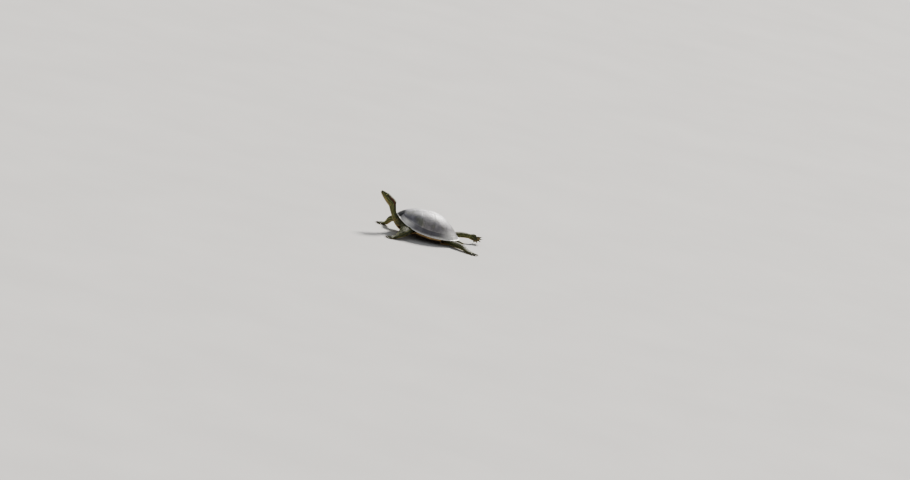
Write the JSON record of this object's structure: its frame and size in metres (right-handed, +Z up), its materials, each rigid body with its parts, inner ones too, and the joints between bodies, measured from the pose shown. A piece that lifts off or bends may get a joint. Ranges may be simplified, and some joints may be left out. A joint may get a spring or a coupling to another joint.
{
  "type": "red-eared slider turtle",
  "caption": "Adult red-eared slider turtle basking with its head raised: domed grey-brown shell, striped green skin, clawed webbed feet, one hind leg stretched back.",
  "frame": {"origin": "middle of the bounding box on the ground plane", "axes": "+Z up; the turtle faces -Y, its tail and stretched hind leg point to +Y; its left side is +X"},
  "size_m": [0.2332, 0.3396, 0.1138],
  "materials": {
    "carapace": "dry, matte horn with growth rings, dusty olive grey",
    "plastron": "satin horn, yellow-orange with dark blotches",
    "skin": "satin scaly skin, dark olive with yellow stripes",
    "eye": "wet gloss, yellow-green iris with a dark bar"
  },
  "bodies": {
    "root": {"carapace": "carapace", "plastron": "plastron", "trunk": "skin", "neck": "skin", "head": "skin", "tail": "skin", "eye_left": "eye", "eye_right": "eye", "front_upper_leg_left": "skin", "front_upper_leg_right": "skin", "front_lower_leg_left": "skin", "front_lower_leg_right": "skin", "front_foot_left": "skin", "front_foot_right": "skin", "hind_upper_leg_left": "skin", "hind_upper_leg_right": "skin", "hind_lower_leg_left": "skin", "hind_lower_leg_right": "skin", "hind_foot_left": "skin", "hind_foot_right": "skin"}
  },
  "joints": []
}
